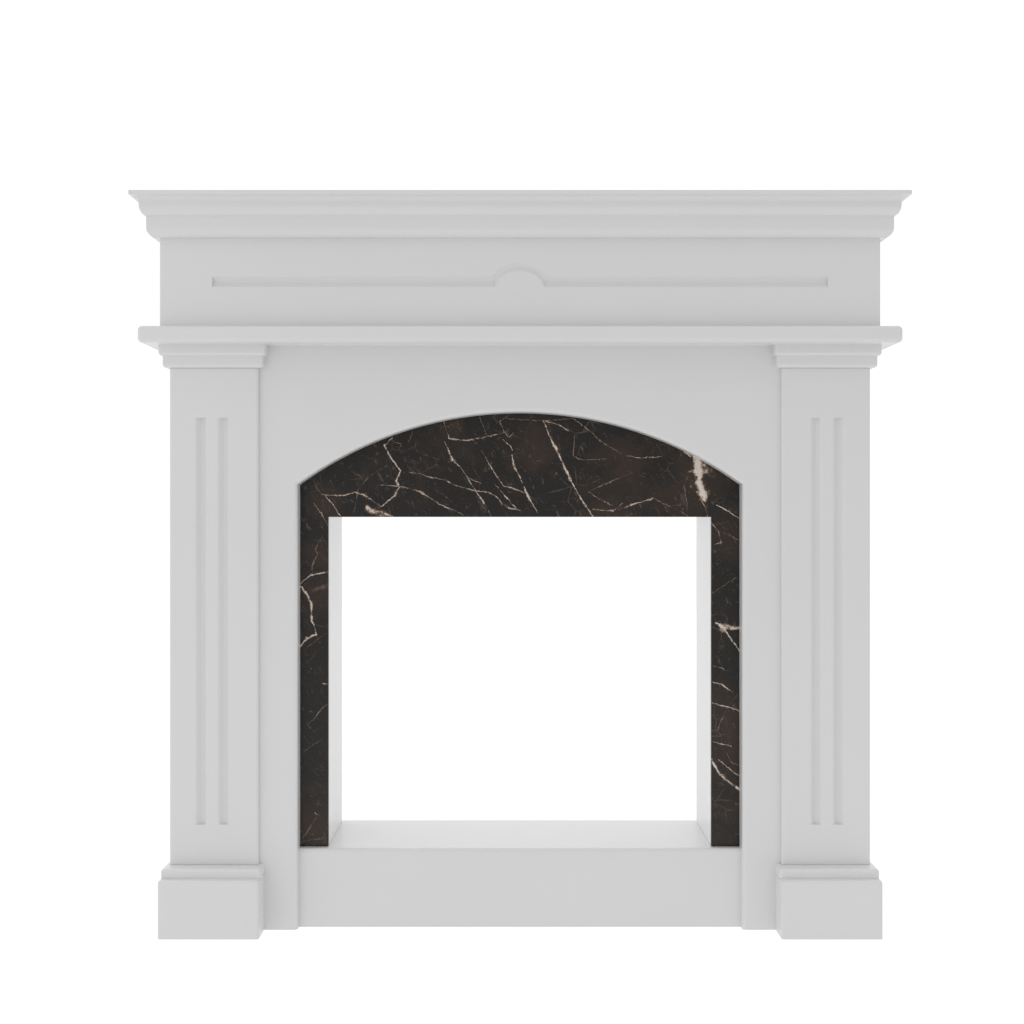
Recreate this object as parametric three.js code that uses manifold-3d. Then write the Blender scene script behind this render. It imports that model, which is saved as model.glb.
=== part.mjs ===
// Fireplace mantelpiece: a painted surround with fluted pilasters, an arched panel, a stepped cornice,
// a marble back panel and a raised hearth. Millimetres, +Z up. X runs along the mantel and Y back to the wall.
// Depths are written from the front face of the arched panel, and the finished group is centred on its footprint.
import * as THREE from 'three';
import { mergeVertices } from 'three/addons/utils/BufferGeometryUtils.js';
import Module from 'manifold-3d';

const wasm = await Module();
wasm.setup();

// Boards and joints
const jointGap = 0.3; // clearance between two pieces that touch
const boardThickness = 18; // side, frieze, top, lining and hearth boards
const depthToWall = 215.3; // from the panel front back to the wall
const cutOverrun = 2; // how far a cutter passes the face that it cuts

// Arched panel
const panelThickness = 28.7;
const archHalfWidth = 336.6;
const archSpringing = 673.8; // height where the arc meets the straight sides
const archRise = 109.4;
const archEdgeRadius = 6; // rounding of the front edge round the arch
const panelMargin = 57.6; // panel that shows between the arch and a pilaster

// Pilasters and their flutes
const pilasterWidth = 134;
const pilasterHeight = 747.9;
const pilasterProud = 8.5; // pilaster front ahead of the panel
const pilasterEdgeRadius = 4;
const fluteRadius = 8.5;
const fluteDepth = 7; // a little shallower than a half round
const fluteSpacing = 33.4; // between the centre lines of the two flutes
const fluteFootMargin = 60.1; // plain pilaster below the flutes
const fluteHeadMargin = 74.5; // plain pilaster above the flutes
const fluteOutset = 2.2; // middle of the flutes outwards of the middle of the pilaster

// Bands that wrap each leg: how far each one stands past the pilaster, and its height and rounded edge
const plinthBand = { height: 86.2, inner: 7.3, outer: 8.6, front: 39.8, corner: 4, edge: 4, rounded: 'top' };
const baseBand = { height: 14, inner: 7.3, outer: 7, front: 26.5, corner: 4, edge: 5, rounded: 'top' };
const capitalLowerBand = { height: 16.9, inner: 8.6, outer: 8.8, front: 9, corner: 4, edge: 5, rounded: 'foot' };
const capitalUpperBand = { height: 16.7, inner: 12.9, outer: 13.7, front: 14.5, corner: 4, edge: 5.5, rounded: 'foot' };
const finestCorner = 0.3; // radius left on a corner where a rounded edge eats the rest

// Mantel shelf
const shelfThickness = 24.8;
const shelfEndOverhang = 38.4; // past the outer side of a pilaster
const shelfFrontOverhang = 41.5; // past the front of a pilaster
const shelfEdgeRadius = 6.5;
const shelfCornerRadius = 7;

// Frieze box and its groove
const friezeHeight = 132.4;
const friezeEndOverhang = 11.3; // past the outer side of a pilaster
const friezeProud = 25; // frieze front ahead of the panel
const friezeCornerRadius = 4.5;
const grooveRadius = 8.2;
const grooveHeight = 67.9; // groove centre line above the foot of the frieze
const grooveEndMargin = 79; // plain frieze past each end of the groove
const humpRadius = 44.8; // centre line of the hump over the half disc
const humpDrop = 22; // centre of the hump below the groove centre line

// Cornice section, outwards from the frieze face and upwards from the frieze top
const corniceHeight = 64.6;
const corniceProjection = 36.5;
const filletHeight = 6.5; // flat band along the top
const filletStep = 2.8; // set back of the hollow from the fillet
const soffitWidth = 6.9;
const lowerRoundWidth = 8.8;
const lowerRoundHeight = 13;
const flatHeight = 17.6;
const ovoloWidth = 8.9;
const ovoloHeight = 16.3;
const hollowRise = 2; // upright band between the ovolo and the hollow under the fillet
const rebateWidth = 9; // ledge that the top board lies on

// Marble back panel and the opening in it
const marbleThickness = 7;
const marbleLap = 20; // marble hidden behind the panel, all round the arch
const marbleReveal = 43.15; // marble that shows beside the opening, under the straight sides of the arch
const openingHeight = 504.9; // from the hearth up
const liningSetback = 10; // cheeks and header stop short of the wall

// Hearth
const hearthHeight = 119.3;
const hearthSetback = 15.6; // hearth front behind the panel front
const hearthEdgeRadius = 5.5;

// Facets
const edgeSteps = 4; // on a quarter round
const fluteSteps = 24; // on a full circle
const humpSteps = 20;
const archSteps = 36;
const profileSteps = 5; // on each curve of the cornice

// Positions that follow from the sizes above
const pilasterInner = archHalfWidth + panelMargin;
const pilasterOuter = pilasterInner + pilasterWidth;
const pilasterFront = -pilasterProud;
const baseFoot = plinthBand.height + jointGap;
const pilasterFoot = baseFoot + baseBand.height + jointGap;
const capitalLowerFoot = pilasterFoot + pilasterHeight + jointGap;
const capitalUpperFoot = capitalLowerFoot + capitalLowerBand.height + jointGap;
const legTop = capitalUpperFoot + capitalUpperBand.height;
const shelfFoot = legTop + jointGap;
const friezeFoot = shelfFoot + shelfThickness + jointGap;
const friezeTop = friezeFoot + friezeHeight;
const corniceFoot = friezeTop + jointGap;
const corniceTop = corniceFoot + corniceHeight;
const friezeHalfWidth = pilasterOuter + friezeEndOverhang;
const friezeFront = -friezeProud;
const marbleFront = panelThickness + jointGap;
const openingHalfWidth = archHalfWidth - marbleReveal;
const liningFront = marbleFront + marbleThickness + jointGap;
const liningBack = depthToWall - liningSetback;
const liningFoot = hearthHeight + jointGap;
const openingTop = liningFoot + openingHeight;
const hearthHalfWidth = archHalfWidth - jointGap;
const hearthBoardTop = hearthHeight - boardThickness - jointGap;
const mitreGap = jointGap / Math.SQRT2;

const paint = { color: 0xdcdcda, roughness: 0.45, metalness: 0 };
const marble = { color: 0x38332f, roughness: 0.25, metalness: 0 };

// A closed geometry from corner points and triangles, turned so that its faces point out
function closedGeometry(points, triangles) {
  let sixVolumes = 0;
  for (const [a, b, c] of triangles) {
    sixVolumes += points[a].dot(new THREE.Vector3().crossVectors(points[b], points[c]));
  }
  const ordered = triangles.map(([a, b, c]) => (sixVolumes < 0 ? [c, b, a] : [a, b, c]));
  const geometry = new THREE.BufferGeometry().setFromPoints(points);
  geometry.setIndex(ordered.flat());
  geometry.computeVertexNormals();
  return geometry;
}

// A solid skinned over rings that all have the same number of points; outline is the ring laid flat
function skinRings(rings, outline) {
  const count = outline.length;
  const triangles = [];
  for (let ring = 0; ring < rings.length - 1; ring += 1) {
    for (let i = 0; i < count; i += 1) {
      const here = ring * count + i;
      const next = ring * count + ((i + 1) % count);
      triangles.push([here, next, next + count], [here, next + count, here + count]);
    }
  }
  const last = (rings.length - 1) * count;
  for (const [a, b, c] of THREE.ShapeUtils.triangulateShape(outline, [])) {
    triangles.push([c, b, a], [last + a, last + b, last + c]);
  }
  return closedGeometry(rings.flat(), triangles);
}

// Points along an arc, both ends included, angles in degrees
function arcPoints(centreX, centreY, radius, startAngle, endAngle, steps) {
  const points = [];
  for (let step = 0; step <= steps; step += 1) {
    const angle = THREE.MathUtils.degToRad(startAngle + ((endAngle - startAngle) * step) / steps);
    points.push(new THREE.Vector2(centreX + radius * Math.cos(angle), centreY + radius * Math.sin(angle)));
  }
  return points;
}

// Heights and insets of a wall whose top, foot or both edges are a quarter round
function edgeProfile(height, radius, rounded) {
  const quarter = arcPoints(0, 0, radius, 0, 90, edgeSteps);
  const foot = quarter.toReversed().map((point) => ({ z: radius - point.y, inset: radius - point.x }));
  const top = quarter.map((point) => ({ z: height - radius + point.y, inset: radius - point.x }));
  const plainFoot = [{ z: 0, inset: 0 }];
  const plainTop = [{ z: height, inset: 0 }];
  return [...(rounded === 'top' ? plainFoot : foot), ...(rounded === 'foot' ? plainTop : top)];
}

// The two rounded front corners of a plan outline, from the left side round to the right side
function frontCorners(left, right, front, corner, inset) {
  const reach = Math.max(corner, inset + finestCorner);
  return [
    ...arcPoints(left + reach, front + reach, reach - inset, 180, 270, edgeSteps),
    ...arcPoints(right - reach, front + reach, reach - inset, 270, 360, edgeSteps),
  ];
}

// A solid that rises through the plan outlines that outlineAt gives for each inset
function riseThrough(profile, foot, side, outlineAt) {
  const rings = profile.map(({ z, inset }) =>
    outlineAt(inset).map((point) => new THREE.Vector3(side * point.x, point.y, foot + z)),
  );
  return skinRings(rings, outlineAt(profile[0].inset));
}

// A plain board between two corners
function board(left, right, front, back, foot, top) {
  const geometry = new THREE.BoxGeometry(right - left, back - front, top - foot);
  return geometry.translate((left + right) / 2, (front + back) / 2, (foot + top) / 2);
}

function toSolid(geometry) {
  const plain = geometry.clone();
  plain.deleteAttribute('normal');
  plain.deleteAttribute('uv');
  const merged = mergeVertices(plain);
  return new wasm.Manifold(
    new wasm.Mesh({
      numProp: 3,
      vertProperties: Float32Array.from(merged.getAttribute('position').array),
      triVerts: Uint32Array.from(merged.getIndex().array),
    }),
  );
}

// The geometry with every cutter taken out of it
function cutAway(geometry, cutters) {
  let solid = toSolid(geometry);
  for (const cutter of cutters) {
    solid = solid.subtract(toSolid(cutter));
  }
  const { vertProperties, triVerts } = solid.getMesh();
  const result = new THREE.BufferGeometry();
  result.setAttribute('position', new THREE.BufferAttribute(Float32Array.from(vertProperties), 3));
  result.setIndex(new THREE.BufferAttribute(Uint32Array.from(triVerts), 1));
  result.computeVertexNormals();
  return result;
}

// Arch outline in X and Z, grown all round by offset and open to the floor
function archOutline(offset) {
  const radius = (archHalfWidth ** 2 + archRise ** 2) / (2 * archRise);
  const centreHeight = archSpringing + archRise - radius;
  const halfWidth = archHalfWidth + offset;
  const spread = THREE.MathUtils.radToDeg(Math.asin(halfWidth / (radius + offset)));
  return [
    new THREE.Vector2(-halfWidth, -cutOverrun),
    new THREE.Vector2(halfWidth, -cutOverrun),
    ...arcPoints(0, centreHeight, radius + offset, 90 - spread, 90 + spread, archSteps),
  ];
}

function frontPanel() {
  const blank = board(-pilasterOuter, pilasterOuter, 0, panelThickness, 0, legTop);
  const rounding = arcPoints(archEdgeRadius, archEdgeRadius, archEdgeRadius, 270, 180, edgeSteps);
  const stations = [
    { y: -cutOverrun, offset: archEdgeRadius },
    ...rounding.map((point) => ({ y: point.y, offset: point.x })),
    { y: panelThickness + cutOverrun, offset: 0 },
  ];
  const rings = stations.map(({ y, offset }) =>
    archOutline(offset).map((point) => new THREE.Vector3(point.x, y, point.y)),
  );
  return cutAway(blank, [skinRings(rings, archOutline(0))]);
}

function pilaster(side) {
  const profile = [{ z: 0, inset: 0 }, { z: pilasterHeight, inset: 0 }];
  const shaft = riseThrough(profile, pilasterFoot, side, (inset) => [
    new THREE.Vector2(pilasterInner, -jointGap),
    ...frontCorners(pilasterInner, pilasterOuter, pilasterFront, pilasterEdgeRadius, inset),
    new THREE.Vector2(pilasterOuter, -jointGap),
  ]);
  const fluteLength = pilasterHeight - fluteFootMargin - fluteHeadMargin;
  const fluteMiddle = pilasterFoot + fluteFootMargin + fluteLength / 2;
  const flutesMiddle = pilasterInner + pilasterWidth / 2 + fluteOutset;
  const fluteAxis = pilasterFront + fluteDepth - fluteRadius;
  const flutes = [-1, 1].map((place) =>
    new THREE.CylinderGeometry(fluteRadius, fluteRadius, fluteLength, fluteSteps)
      .rotateX(Math.PI / 2)
      .translate(side * (flutesMiddle + (place * fluteSpacing) / 2), fluteAxis, fluteMiddle),
  );
  return cutAway(shaft, flutes);
}

// A band round the leg: its inner side stops at the panel, and its outer side runs back to the wall
function legBand(side, foot, band) {
  const inner = pilasterInner - band.inner;
  const outer = pilasterOuter + band.outer;
  const front = pilasterFront - band.front;
  return riseThrough(edgeProfile(band.height, band.edge, band.rounded), foot, side, (inset) => [
    new THREE.Vector2(inner + inset, -jointGap),
    ...frontCorners(inner, outer, front, band.corner, inset),
    new THREE.Vector2(outer - inset, depthToWall),
    new THREE.Vector2(pilasterOuter + jointGap, depthToWall),
    new THREE.Vector2(pilasterOuter + jointGap, -jointGap),
  ]);
}

function sideBoard(side) {
  const faces = [side * (pilasterOuter - boardThickness), side * pilasterOuter];
  return board(Math.min(...faces), Math.max(...faces), panelThickness + jointGap, depthToWall, 0, legTop);
}

function mantelShelf() {
  const halfWidth = pilasterOuter + shelfEndOverhang;
  const front = pilasterFront - shelfFrontOverhang;
  return riseThrough(edgeProfile(shelfThickness, shelfEdgeRadius, 'both'), shelfFoot, 1, (inset) => [
    new THREE.Vector2(-halfWidth + inset, depthToWall),
    ...frontCorners(-halfWidth, halfWidth, front, shelfCornerRadius, inset),
    new THREE.Vector2(halfWidth - inset, depthToWall),
  ]);
}

// The hump of the groove: a round channel bent over the half disc, ending inside the straight grooves
function humpChannel(grooveLine) {
  const humpCentre = grooveLine - humpDrop;
  const endAngle = THREE.MathUtils.radToDeg(Math.asin((humpDrop - grooveRadius) / (humpRadius - grooveRadius)));
  const section = arcPoints(0, 0, grooveRadius, 0, 360, fluteSteps).slice(0, fluteSteps);
  const rings = arcPoints(0, 0, 1, endAngle, 180 - endAngle, humpSteps).map((direction) =>
    section.map((point) => {
      const reach = humpRadius + point.x;
      return new THREE.Vector3(reach * direction.x, friezeFront + point.y, humpCentre + reach * direction.y);
    }),
  );
  return skinRings(rings, section);
}

function straightChannel(side, grooveLine) {
  const innerEnd = Math.sqrt((humpRadius - grooveRadius) ** 2 - (humpDrop - grooveRadius) ** 2);
  const outerEnd = friezeHalfWidth - grooveEndMargin;
  return new THREE.CylinderGeometry(grooveRadius, grooveRadius, outerEnd - innerEnd, fluteSteps)
    .rotateZ(Math.PI / 2)
    .translate((side * (innerEnd + outerEnd)) / 2, friezeFront, grooveLine);
}

function friezeFrontBoard() {
  const profile = [{ z: 0, inset: 0 }, { z: friezeHeight, inset: 0 }];
  const blank = riseThrough(profile, friezeFoot, 1, (inset) => [
    new THREE.Vector2(-friezeHalfWidth, friezeFront + boardThickness),
    ...frontCorners(-friezeHalfWidth, friezeHalfWidth, friezeFront, friezeCornerRadius, inset),
    new THREE.Vector2(friezeHalfWidth, friezeFront + boardThickness),
  ]);
  const grooveLine = friezeFoot + grooveHeight;
  return cutAway(blank, [
    straightChannel(-1, grooveLine),
    straightChannel(1, grooveLine),
    humpChannel(grooveLine),
  ]);
}

function friezeEnd(side) {
  const faces = [side * (friezeHalfWidth - boardThickness), side * friezeHalfWidth];
  const front = friezeFront + boardThickness + jointGap;
  return board(Math.min(...faces), Math.max(...faces), front, depthToWall, friezeFoot, friezeTop);
}

// Cornice section: x is outwards from the frieze face, y upwards from the frieze top
function corniceSection() {
  const flatFace = soffitWidth + lowerRoundWidth;
  const flatTop = lowerRoundHeight + flatHeight;
  const hollowInner = flatFace + ovoloWidth;
  const hollowFoot = flatTop + ovoloHeight + hollowRise;
  const hollowTop = corniceHeight - filletHeight;
  const hollowWidth = corniceProjection - filletStep - hollowInner;
  const roundRadius = (lowerRoundWidth ** 2 + lowerRoundHeight ** 2) / (2 * lowerRoundWidth);
  const roundSpread = THREE.MathUtils.radToDeg(Math.asin(lowerRoundHeight / roundRadius));
  const turns = arcPoints(0, 0, 1, 0, 90, profileSteps);
  const ledge = corniceHeight - boardThickness - jointGap;
  return [
    new THREE.Vector2(-boardThickness, 0),
    ...arcPoints(flatFace - roundRadius, lowerRoundHeight, roundRadius, -roundSpread, 0, profileSteps),
    ...turns.map((turn) => new THREE.Vector2(flatFace + ovoloWidth * turn.y, flatTop + ovoloHeight * (1 - turn.x))),
    ...turns.map((turn) =>
      new THREE.Vector2(hollowInner + hollowWidth * (1 - turn.x), hollowFoot + (hollowTop - hollowFoot) * turn.y),
    ),
    new THREE.Vector2(corniceProjection, hollowTop),
    new THREE.Vector2(corniceProjection, corniceHeight),
    new THREE.Vector2(rebateWidth - boardThickness, corniceHeight),
    new THREE.Vector2(rebateWidth - boardThickness, ledge),
    new THREE.Vector2(-boardThickness, ledge),
  ];
}

// Half of the clearance in a mitre, measured along either piece
function corniceFront() {
  const section = corniceSection();
  const rings = [-1, 1].map((side) =>
    section.map((point) =>
      new THREE.Vector3(side * (friezeHalfWidth + point.x - mitreGap), friezeFront - point.x, corniceFoot + point.y),
    ),
  );
  return skinRings(rings, section);
}

function corniceReturn(side) {
  const section = corniceSection();
  const ringAt = (depthOf) =>
    section.map((point) =>
      new THREE.Vector3(side * (friezeHalfWidth + point.x), depthOf(point), corniceFoot + point.y),
    );
  return skinRings([ringAt((point) => friezeFront - point.x + mitreGap), ringAt(() => depthToWall)], section);
}

function topBoard() {
  const inset = boardThickness - rebateWidth + jointGap;
  const halfWidth = friezeHalfWidth - inset;
  return board(-halfWidth, halfWidth, friezeFront + inset, depthToWall, corniceTop - boardThickness, corniceTop);
}

// The marble sheet laps behind the panel all round and is notched by the opening
function marbleSurround() {
  const halfWidth = archHalfWidth + marbleLap;
  const top = archSpringing + archRise + marbleLap;
  const outline = [
    new THREE.Vector2(-halfWidth, liningFoot),
    new THREE.Vector2(-openingHalfWidth, liningFoot),
    new THREE.Vector2(-openingHalfWidth, openingTop),
    new THREE.Vector2(openingHalfWidth, openingTop),
    new THREE.Vector2(openingHalfWidth, liningFoot),
    new THREE.Vector2(halfWidth, liningFoot),
    new THREE.Vector2(halfWidth, top),
    new THREE.Vector2(-halfWidth, top),
  ];
  const rings = [marbleFront, marbleFront + marbleThickness].map((y) =>
    outline.map((point) => new THREE.Vector3(point.x, y, point.y)),
  );
  return skinRings(rings, outline);
}

function fireboxCheek(side) {
  const faces = [side * openingHalfWidth, side * (openingHalfWidth + boardThickness)];
  return board(Math.min(...faces), Math.max(...faces), liningFront, liningBack, liningFoot, openingTop);
}

function fireboxHeader() {
  const halfWidth = openingHalfWidth + boardThickness;
  const foot = openingTop + jointGap;
  return board(-halfWidth, halfWidth, liningFront, liningBack, foot, foot + boardThickness);
}

function hearthDeck() {
  const foot = hearthHeight - boardThickness;
  const section = [
    new THREE.Vector2(hearthSetback, foot),
    new THREE.Vector2(depthToWall, foot),
    new THREE.Vector2(depthToWall, hearthHeight),
    ...arcPoints(
      hearthSetback + hearthEdgeRadius, hearthHeight - hearthEdgeRadius, hearthEdgeRadius, 90, 180, edgeSteps,
    ),
  ];
  const rings = [-hearthHalfWidth, hearthHalfWidth].map((x) =>
    section.map((point) => new THREE.Vector3(x, point.x, point.y)),
  );
  return skinRings(rings, section);
}

function hearthFront() {
  const back = hearthSetback + boardThickness;
  return board(-hearthHalfWidth, hearthHalfWidth, hearthSetback, back, 0, hearthBoardTop);
}

function hearthEnd(side) {
  const faces = [side * (hearthHalfWidth - boardThickness), side * hearthHalfWidth];
  const front = hearthSetback + boardThickness + jointGap;
  return board(Math.min(...faces), Math.max(...faces), front, depthToWall, 0, hearthBoardTop);
}

const mantelpiece = new THREE.Group();

function addPiece(name, geometry, finish) {
  const mesh = new THREE.Mesh(geometry, new THREE.MeshStandardMaterial(finish));
  mesh.name = name;
  mantelpiece.add(mesh);
}

addPiece('front_panel', frontPanel(), paint);
addPiece('mantel_shelf', mantelShelf(), paint);
addPiece('frieze_front', friezeFrontBoard(), paint);
addPiece('cornice_front', corniceFront(), paint);
addPiece('top_board', topBoard(), paint);
addPiece('marble_surround', marbleSurround(), marble);
addPiece('firebox_header', fireboxHeader(), paint);
addPiece('hearth_front', hearthFront(), paint);
addPiece('hearth_deck', hearthDeck(), paint);
for (const [sideName, side] of [['left', -1], ['right', 1]]) {
  addPiece(`pilaster_${sideName}`, pilaster(side), paint);
  addPiece(`plinth_block_${sideName}`, legBand(side, 0, plinthBand), paint);
  addPiece(`base_moulding_${sideName}`, legBand(side, baseFoot, baseBand), paint);
  addPiece(`capital_lower_${sideName}`, legBand(side, capitalLowerFoot, capitalLowerBand), paint);
  addPiece(`capital_upper_${sideName}`, legBand(side, capitalUpperFoot, capitalUpperBand), paint);
  addPiece(`side_board_${sideName}`, sideBoard(side), paint);
  addPiece(`frieze_end_${sideName}`, friezeEnd(side), paint);
  addPiece(`cornice_return_${sideName}`, corniceReturn(side), paint);
  addPiece(`firebox_cheek_${sideName}`, fireboxCheek(side), paint);
  addPiece(`hearth_end_${sideName}`, hearthEnd(side), paint);
}

// The footprint runs from the cornice front to the wall, and its middle is the origin
const frontmost = friezeFront - corniceProjection;
mantelpiece.position.y = -(frontmost + depthToWall) / 2;

export default mantelpiece;
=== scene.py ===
import math

import bmesh
import bpy
from mathutils import Matrix, Vector


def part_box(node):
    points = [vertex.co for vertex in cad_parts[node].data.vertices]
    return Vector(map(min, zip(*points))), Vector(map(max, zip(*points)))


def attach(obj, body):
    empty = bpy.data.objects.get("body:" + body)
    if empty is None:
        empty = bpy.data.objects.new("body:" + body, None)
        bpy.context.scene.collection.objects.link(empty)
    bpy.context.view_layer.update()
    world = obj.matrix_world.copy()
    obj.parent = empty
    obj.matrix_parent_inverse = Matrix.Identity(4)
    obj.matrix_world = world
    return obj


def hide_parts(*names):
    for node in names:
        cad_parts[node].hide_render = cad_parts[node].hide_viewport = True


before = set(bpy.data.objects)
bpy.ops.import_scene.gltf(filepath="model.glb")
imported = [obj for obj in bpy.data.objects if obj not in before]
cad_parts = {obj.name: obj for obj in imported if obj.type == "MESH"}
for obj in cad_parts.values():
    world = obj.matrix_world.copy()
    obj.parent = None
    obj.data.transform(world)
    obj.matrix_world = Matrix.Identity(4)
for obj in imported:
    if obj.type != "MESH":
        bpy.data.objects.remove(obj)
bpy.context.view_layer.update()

print("scene: camera")

mm = 0.001
camera = {
    "lens": 50.0,  # mm
    "sensor": 36,  # mm
    "clipEnd": 60,
    "distance": 2151 * mm,  # from the front of the arched panel
    "height": 632.1 * mm,
    "acrossFromMiddle": -12.0 * mm,
}
photoMiddle = 511.5  # pixel at the middle of the photograph, both ways
photoSize = 1024
photoFocal = photoSize * camera["lens"] / camera["sensor"]  # focal length in pixels


def corners(node):
    low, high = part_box(node)
    return Vector(low), Vector(high)


panelLow, panelHigh = corners("front_panel")
panelFront = panelLow.y
cameraPlace = Vector((camera["acrossFromMiddle"], panelFront - camera["distance"], camera["height"]))


def makeCamera():
    data = bpy.data.cameras.new("camera")
    data.lens = camera["lens"]
    data.sensor_width = camera["sensor"]
    data.clip_end = camera["clipEnd"]
    view = bpy.data.objects.new("camera", data)
    view.location = cameraPlace
    view.rotation_euler = (math.radians(90), 0, 0)
    bpy.context.scene.collection.objects.link(view)
    bpy.context.scene.camera = view


makeCamera()


# Shader helpers
def newMaterial(name):
    material = bpy.data.materials.new(name)
    material.use_nodes = True
    tree = material.node_tree
    shader = tree.nodes["Principled BSDF"]
    place = tree.nodes.new("ShaderNodeTexCoord").outputs["Object"]
    return material, tree, shader, place


def plug(tree, value, socket):
    if hasattr(value, "is_output"):
        tree.links.new(value, socket)
    else:
        socket.default_value = value


def noise(tree, place, scale, detail=2.0, roughness=0.5, distortion=0.0):
    node = tree.nodes.new("ShaderNodeTexNoise")
    plug(tree, place, node.inputs["Vector"])
    node.inputs["Scale"].default_value = scale
    node.inputs["Detail"].default_value = detail
    node.inputs["Roughness"].default_value = roughness
    node.inputs["Distortion"].default_value = distortion
    return node


def sums(tree, operation, first, second=0.0, third=0.0):
    node = tree.nodes.new("ShaderNodeMath")
    node.operation = operation
    for socket, value in zip(node.inputs, (first, second, third)):
        plug(tree, value, socket)
    return node.outputs[0]


def vectors(tree, operation, first, second=None, scale=None):
    node = tree.nodes.new("ShaderNodeVectorMath")
    node.operation = operation
    plug(tree, first, node.inputs[0])
    if second is not None:
        plug(tree, second, node.inputs[1])
    if scale is not None:
        plug(tree, scale, node.inputs["Scale"])
    return node.outputs["Value"] if operation in ("LENGTH", "DOT_PRODUCT") else node.outputs["Vector"]


def remap(tree, value, fromLow, fromHigh, toLow=0.0, toHigh=1.0, smooth=True):
    # A smooth step keeps within its range by itself, and clamping it too makes a big shader overflow
    node = tree.nodes.new("ShaderNodeMapRange")
    node.interpolation_type = "SMOOTHSTEP" if smooth else "LINEAR"
    node.clamp = not smooth
    plug(tree, value, node.inputs["Value"])
    node.inputs["From Min"].default_value = fromLow
    node.inputs["From Max"].default_value = fromHigh
    node.inputs["To Min"].default_value = toLow
    node.inputs["To Max"].default_value = toHigh
    return node.outputs["Result"]


def blendColours(tree, share, first, second):
    node = tree.nodes.new("ShaderNodeMix")
    node.data_type = "RGBA"
    plug(tree, share, node.inputs["Factor"])
    plug(tree, first, node.inputs["A"])
    plug(tree, second, node.inputs["B"])
    return node.outputs["Result"]


def bump(tree, shader, height, strength, distance):
    node = tree.nodes.new("ShaderNodeBump")
    node.inputs["Strength"].default_value = strength
    node.inputs["Distance"].default_value = distance
    plug(tree, height, node.inputs["Height"])
    tree.links.new(node.outputs["Normal"], shader.inputs["Normal"])


print("scene: materials")

paintLook = {
    "colour": (0.770, 0.770, 0.770, 1),
    "shadeColour": (0.765, 0.765, 0.765, 1),
    "roughness": 0.22,
    "liningPaintedLightLift": 1.06,  # painted light: the boards that line the opening get paler paint to stand in for the brighter light inside it
    "sheen": 0.30,  # brightens what is seen at a low angle
    "sheenRoughness": 0.35,
    "roughSpread": 0.04,  # either way
    "specular": 0.5,
    "clouds": {"scale": 9.0, "detail": 3.0},  # broad unevenness of the coat
    "cloudRange": (0.35, 0.65),
    "grain": {"scale": 900.0, "detail": 2.0},  # sprayed texture
    "grainRange": (0.3, 0.7),
    "grainStrength": 0.25,
    "grainDepth": 0.05 * mm,
}


def makePaint(name, lift=1.0):
    material, tree, shader, place = newMaterial(name)
    clouds = noise(tree, place, **paintLook["clouds"]).outputs["Fac"]
    share = remap(tree, clouds, *paintLook["cloudRange"])
    shades = []
    for shade in ("shadeColour", "colour"):
        shades.append(tuple(part * lift for part in paintLook[shade][:3]) + (1,))
    colour = blendColours(tree, share, *shades)
    tree.links.new(colour, shader.inputs["Base Color"])
    grain = noise(tree, place, **paintLook["grain"]).outputs["Fac"]
    spread = paintLook["roughSpread"]
    rough = remap(tree, grain, *paintLook["grainRange"], paintLook["roughness"] - spread,
                  paintLook["roughness"] + spread)
    tree.links.new(rough, shader.inputs["Roughness"])
    shader.inputs["Specular IOR Level"].default_value = paintLook["specular"]
    shader.inputs["Sheen Weight"].default_value = paintLook["sheen"]
    shader.inputs["Sheen Roughness"].default_value = paintLook["sheenRoughness"]
    bump(tree, shader, grain, paintLook["grainStrength"], paintLook["grainDepth"])
    return material


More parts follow.
